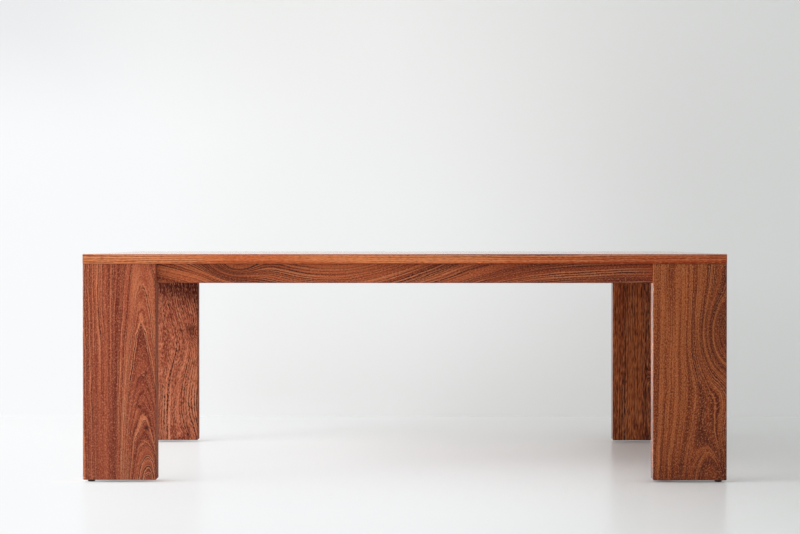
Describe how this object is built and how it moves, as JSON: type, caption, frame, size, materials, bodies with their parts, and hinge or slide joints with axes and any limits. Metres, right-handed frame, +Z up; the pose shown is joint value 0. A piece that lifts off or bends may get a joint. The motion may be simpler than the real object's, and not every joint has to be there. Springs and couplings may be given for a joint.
{
  "type": "dining table",
  "caption": "Dining table in reddish hardwood: a plain rectangular top flush with wide slab legs at its corners, slim rails set back under it, and small dark glides under the feet.",
  "frame": {"origin": "on the floor under the middle of the top", "axes": "+X along the table's length to the right of someone facing its front, +Y from its front to its back, +Z up"},
  "size_m": [2.134, 1.067, 0.756],
  "materials": {
    "top_wood": "satin oil",
    "leg_wood": "satin oil",
    "rail_wood": "satin oil",
    "frame_wood": "bare planed wood",
    "glide_plastic": "moulded, matt",
    "screw_steel": "zinc plated"
  },
  "bodies": {
    "root": {"top_board_1": "top_wood", "top_board_2": "top_wood", "top_board_3": "top_wood", "top_board_4": "top_wood", "top_board_5": "top_wood", "top_board_6": "top_wood", "top_board_7": "top_wood", "front_rail": "rail_wood", "back_rail": "rail_wood", "left_end_rail": "rail_wood", "right_end_rail": "rail_wood", "cross_bearer_1": "frame_wood", "cross_bearer_2": "frame_wood", "front_left_leg": "leg_wood", "front_left_corner_block": "frame_wood", "front_left_glide": "glide_plastic", "front_right_leg": "leg_wood", "front_right_corner_block": "frame_wood", "front_right_glide": "glide_plastic", "back_left_leg": "leg_wood", "back_left_corner_block": "frame_wood", "back_left_glide": "glide_plastic", "back_right_leg": "leg_wood", "back_right_corner_block": "frame_wood", "back_right_glide": "glide_plastic", "top_buttons": "frame_wood", "button_screws": "screw_steel", "bearer_screws": "screw_steel", "corner_block_screws": "screw_steel", "glide_screws": "screw_steel"}
  },
  "joints": []
}
